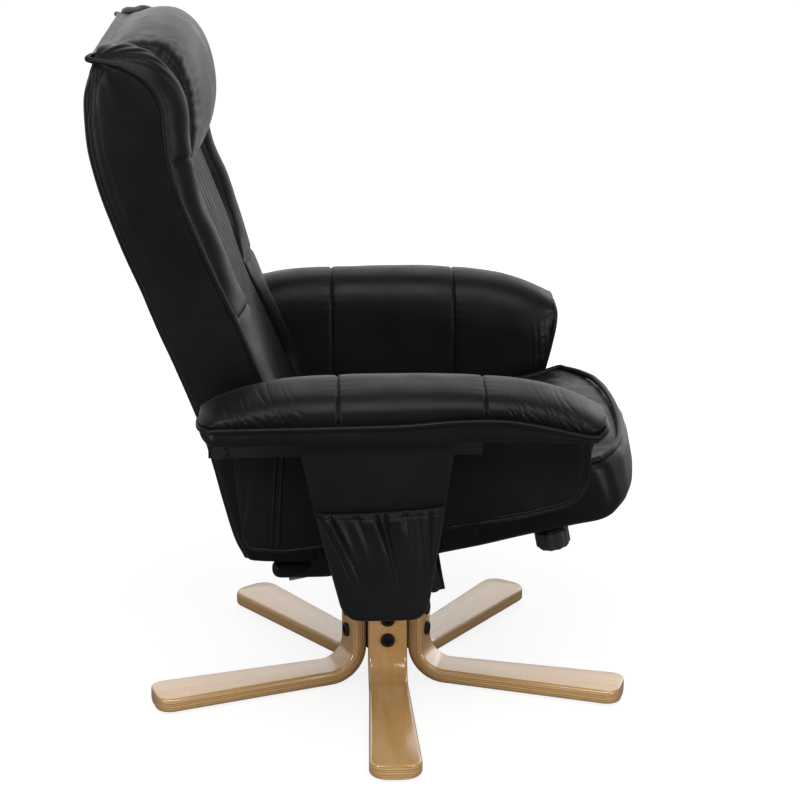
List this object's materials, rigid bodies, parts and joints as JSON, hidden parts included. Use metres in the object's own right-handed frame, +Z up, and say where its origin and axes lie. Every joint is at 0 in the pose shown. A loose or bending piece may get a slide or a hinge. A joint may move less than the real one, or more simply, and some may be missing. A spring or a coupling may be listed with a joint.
{
  "type": "swivel recliner",
  "caption": "Black leather swivel recliner with padded armrests, side pocket and reclining back on a bent-ply star base.",
  "frame": {"origin": "on the floor under the middle of the whole chair's box; the swivel axis stands 24.5 mm ahead of it", "axes": "+Z up, +X the way the chair faces at rest, +Y to the sitter's left"},
  "size_m": [0.7742, 0.7579, 1.0345],
  "materials": {
    "black_leather": "smooth, fine grain, soft sheen",
    "pocket_leather": "thin, soft, gathered",
    "birch_ply": "clear satin lacquer",
    "raw_board": "unfinished",
    "black_steel": "black powder coat",
    "grey_steel": "zinc plated",
    "black_plastic": "moulded, satin"
  },
  "bodies": {
    "base": {"leg_1": "birch_ply", "leg_2": "birch_ply", "leg_3": "birch_ply", "leg_4": "birch_ply", "leg_5": "birch_ply", "foot_glide_1": "black_plastic", "foot_glide_2": "black_plastic", "foot_glide_3": "black_plastic", "foot_glide_4": "black_plastic", "foot_glide_5": "black_plastic", "leg_bolts_1": "black_steel", "leg_bolts_2": "black_steel", "leg_bolts_3": "black_steel", "leg_bolts_4": "black_steel", "leg_bolts_5": "black_steel", "base_hub": "black_steel", "column": "black_steel", "swivel_bearing": "grey_steel"},
    "seat": {"swivel_mount": "black_steel", "seat_rail_left": "black_steel", "seat_rail_right": "black_steel", "seat_cross_front": "black_steel", "seat_cross_rear": "black_steel", "seat_board": "raw_board", "seat_cushion": "black_leather", "hinge_bracket_left": "black_steel", "hinge_bracket_right": "black_steel", "hinge_pin_left": "grey_steel", "hinge_pin_right": "grey_steel", "link_bracket_left": "black_steel", "link_bracket_right": "black_steel", "lock_bracket": "black_steel", "lock_spindle": "grey_steel"},
    "backrest": {"back_hinge_plate_left": "black_steel", "back_hinge_plate_right": "black_steel", "back_post_left": "black_steel", "back_post_right": "black_steel", "back_rail_bottom": "black_steel", "back_rail_top": "black_steel", "arm_stud_left": "black_steel", "arm_stud_right": "black_steel", "lock_lug": "black_steel", "back_shell": "black_leather", "back_cushion": "black_leather", "head_pillow": "black_leather"},
    "armrest_left": {"arm_bar_left": "black_steel", "arm_board_left": "raw_board", "arm_pad_left": "black_leather", "arm_panel_left": "black_leather"},
    "armrest_right": {"arm_bar_right": "black_steel", "arm_board_right": "raw_board", "arm_pad_right": "black_leather", "arm_panel_right": "black_leather", "side_pocket": "pocket_leather"},
    "arm_link_left": {"arm_link_left": "black_steel"},
    "arm_link_right": {"arm_link_right": "black_steel"},
    "lock_strut": {"lock_strut": "grey_steel"},
    "lock_knob": {"lock_knob": "black_plastic"}
  },
  "joints": [
    {"name": "swivel", "type": "hinge", "parent": "base", "child": "seat", "pos_m": [0.0245, 0, 0.2346], "axis": [0, 0, 1], "continuous": true},
    {"name": "recline", "type": "hinge", "parent": "seat", "child": "backrest", "pos_m": [-0.1555, 0, 0.272], "axis": [0, -1, 0], "range_deg": [0, 28]},
    {"name": "armrest_left_pivot", "type": "hinge", "parent": "backrest", "child": "armrest_left", "pos_m": [-0.2155, 0.3123, 0.476], "axis": [0, -1, 0], "range_deg": [-28, 0]},
    {"name": "armrest_right_pivot", "type": "hinge", "parent": "backrest", "child": "armrest_right", "pos_m": [-0.2155, -0.3123, 0.476], "axis": [0, -1, 0], "range_deg": [-28, 0]},
    {"name": "arm_link_left_pivot", "type": "hinge", "parent": "seat", "child": "arm_link_left", "pos_m": [0.0795, 0.3058, 0.272], "axis": [0, -1, 0], "range_deg": [0, 28]},
    {"name": "arm_link_right_pivot", "type": "hinge", "parent": "seat", "child": "arm_link_right", "pos_m": [0.0795, -0.3058, 0.272], "axis": [0, -1, 0], "range_deg": [0, 28]},
    {"name": "strut_slide", "type": "slide", "parent": "seat", "child": "lock_strut", "axis": [0.9813, 0, 0.1925], "range_m": [0, 0.01569]},
    {"name": "knob_turn", "type": "hinge", "parent": "seat", "child": "lock_knob", "pos_m": [0.25439, -0.2, 0.31985], "axis": [-0.1925, 0, 0.9813], "range_deg": [0, 360]}
  ],
  "couplings": [
    {"joint": "armrest_left_pivot", "follows": "recline", "ratio": -1},
    {"joint": "armrest_right_pivot", "follows": "recline", "ratio": -1},
    {"joint": "arm_link_left_pivot", "follows": "recline", "ratio": 1},
    {"joint": "arm_link_right_pivot", "follows": "recline", "ratio": 1},
    {"joint": "strut_slide", "follows": "recline", "m_per_rad": 0.032114}
  ]
}
